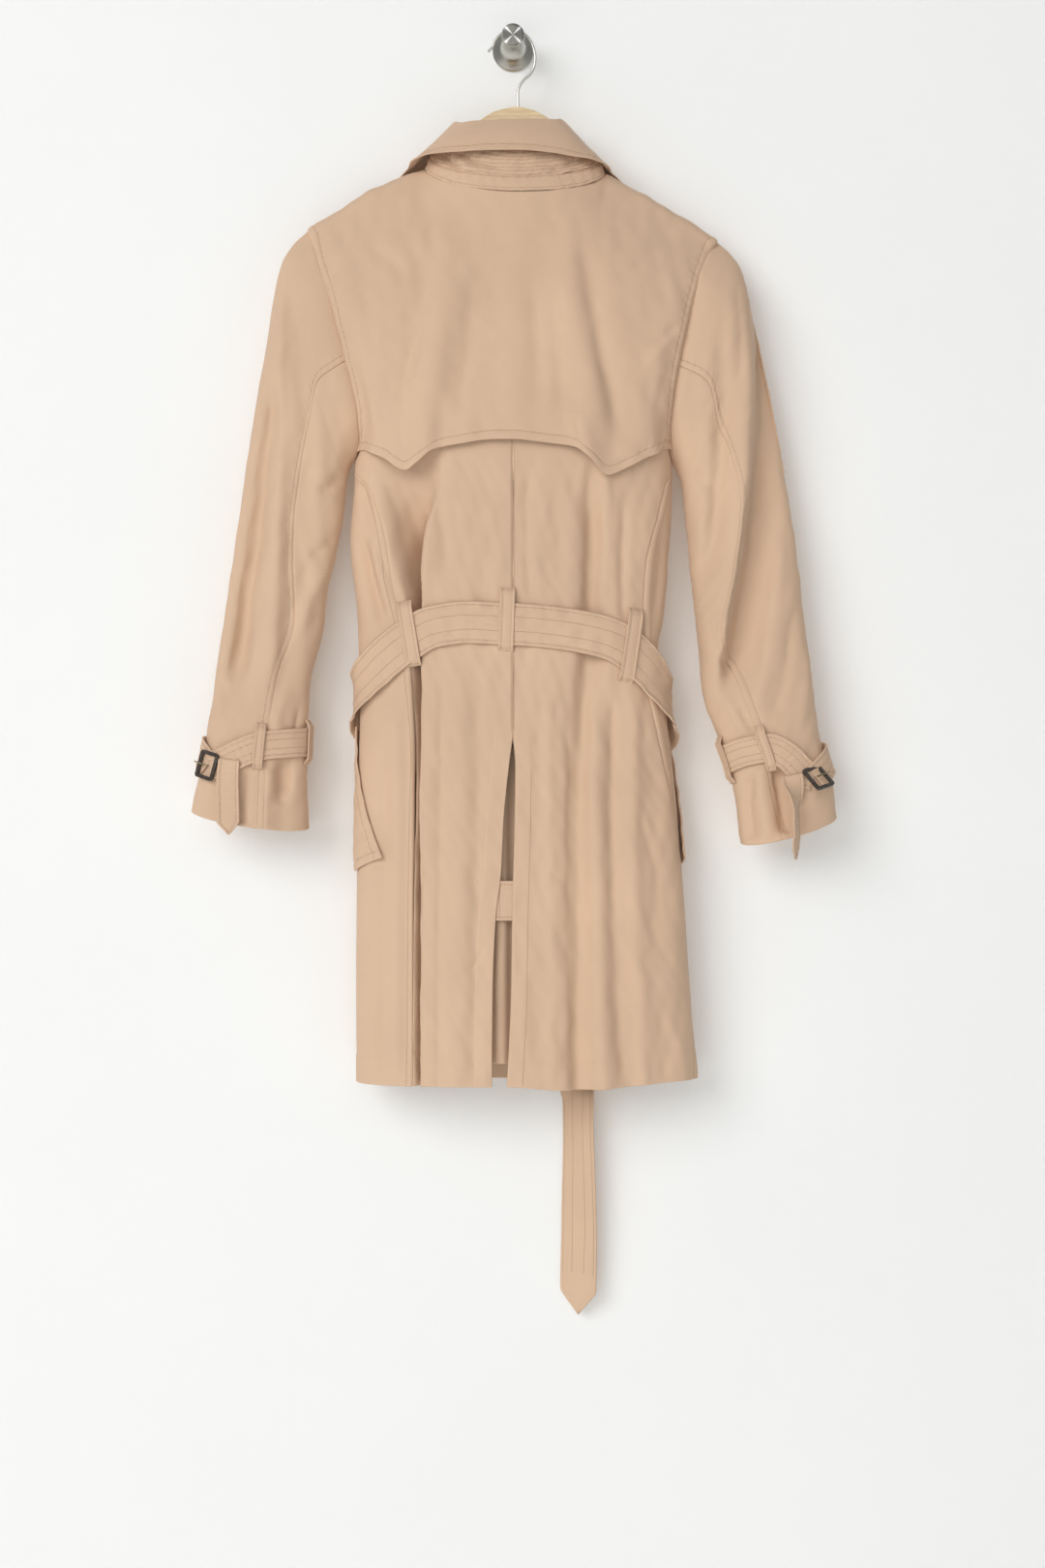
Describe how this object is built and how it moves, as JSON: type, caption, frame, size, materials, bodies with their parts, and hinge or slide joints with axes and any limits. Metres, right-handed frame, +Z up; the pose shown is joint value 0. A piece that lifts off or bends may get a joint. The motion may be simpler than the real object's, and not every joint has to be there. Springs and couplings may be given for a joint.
{
  "type": "trench coat on wooden hanger and wall hook",
  "caption": "Belted knee-length trench coat seen from the back, on a wooden hanger that hangs by its wire hook from a round steel wall knob.",
  "frame": {"origin": "middle of the wall knob's flat back, where it meets the wall", "axes": "+Z up along the coat's length, +Y into the wall, +X to the right for someone facing the wall"},
  "size_m": [0.6432, 0.1056, 1.309],
  "materials": {
    "coat_cloth": "fine beige twill",
    "hanger_wood": "pale varnished wood",
    "hook_wire": "drawn steel wire",
    "knob_steel": "turned and brushed",
    "horn": "dark brown horn look",
    "prong_metal": "aged brass"
  },
  "bodies": {
    "root": {"back_left": "coat_cloth", "back_right": "coat_cloth", "belt_back": "coat_cloth", "belt_buckle": "horn", "belt_front_left": "coat_cloth", "belt_front_right": "coat_cloth", "belt_loop_centre": "coat_cloth", "belt_loop_left": "coat_cloth", "belt_loop_right": "coat_cloth", "belt_prong": "prong_metal", "belt_tail": "coat_cloth", "button_left_1": "horn", "button_left_2": "horn", "button_left_3": "horn", "button_left_4": "horn", "button_right_1": "horn", "button_right_2": "horn", "button_right_3": "horn", "button_right_4": "horn", "collar_band": "coat_cloth", "collar_fall": "coat_cloth", "collar_stand": "coat_cloth", "cuff_buckle_left": "horn", "cuff_buckle_right": "horn", "cuff_loop_left_1": "coat_cloth", "cuff_loop_left_2": "coat_cloth", "cuff_loop_right_1": "coat_cloth", "cuff_loop_right_2": "coat_cloth", "cuff_prong_left": "prong_metal", "cuff_prong_right": "prong_metal", "cuff_strap_left": "coat_cloth", "cuff_strap_right": "coat_cloth", "cuff_tail_left": "coat_cloth", "cuff_tail_right": "coat_cloth", "front_left": "coat_cloth", "front_right": "coat_cloth", "hanger_hook": "hook_wire", "hanger_wood": "hanger_wood", "lapel_left": "coat_cloth", "lapel_right": "coat_cloth", "pocket_welt_left": "coat_cloth", "pocket_welt_right": "coat_cloth", "sleeve_left_top": "coat_cloth", "sleeve_left_under": "coat_cloth", "sleeve_right_top": "coat_cloth", "sleeve_right_under": "coat_cloth", "storm_shield": "coat_cloth", "vent_tab": "coat_cloth", "vent_underlap": "coat_cloth", "wall_knob": "knob_steel"}
  },
  "joints": []
}
